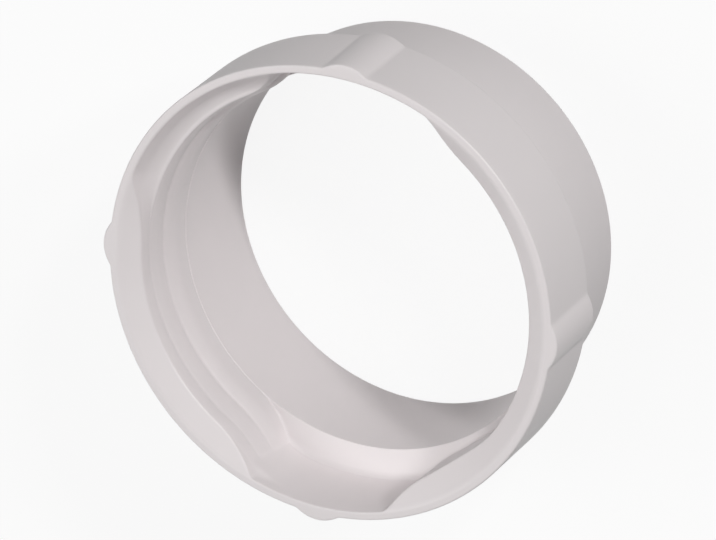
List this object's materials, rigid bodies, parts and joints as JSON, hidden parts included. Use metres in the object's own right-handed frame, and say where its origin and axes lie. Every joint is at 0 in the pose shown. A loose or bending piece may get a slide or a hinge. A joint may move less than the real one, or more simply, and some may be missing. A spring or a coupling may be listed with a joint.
{
  "type": "dryer vent hose adapter",
  "caption": "Stepped plastic sleeve that joins a flexible dryer vent hose to a round outlet collar: plain spigot below, wider socket above with guide pads inside and rounded lugs outside.",
  "frame": {"origin": "centre of the hose rim, on the surface that the adapter stands on", "axes": "+Z along the duct axis from the hose spigot towards the wide socket, +X through the lug over the relieved pad"},
  "size_m": [0.1194, 0.1194, 0.0537],
  "materials": {
    "white_plastic": "satin moulded plastic"
  },
  "bodies": {
    "root": {"adapter_body": "white_plastic"}
  },
  "joints": []
}
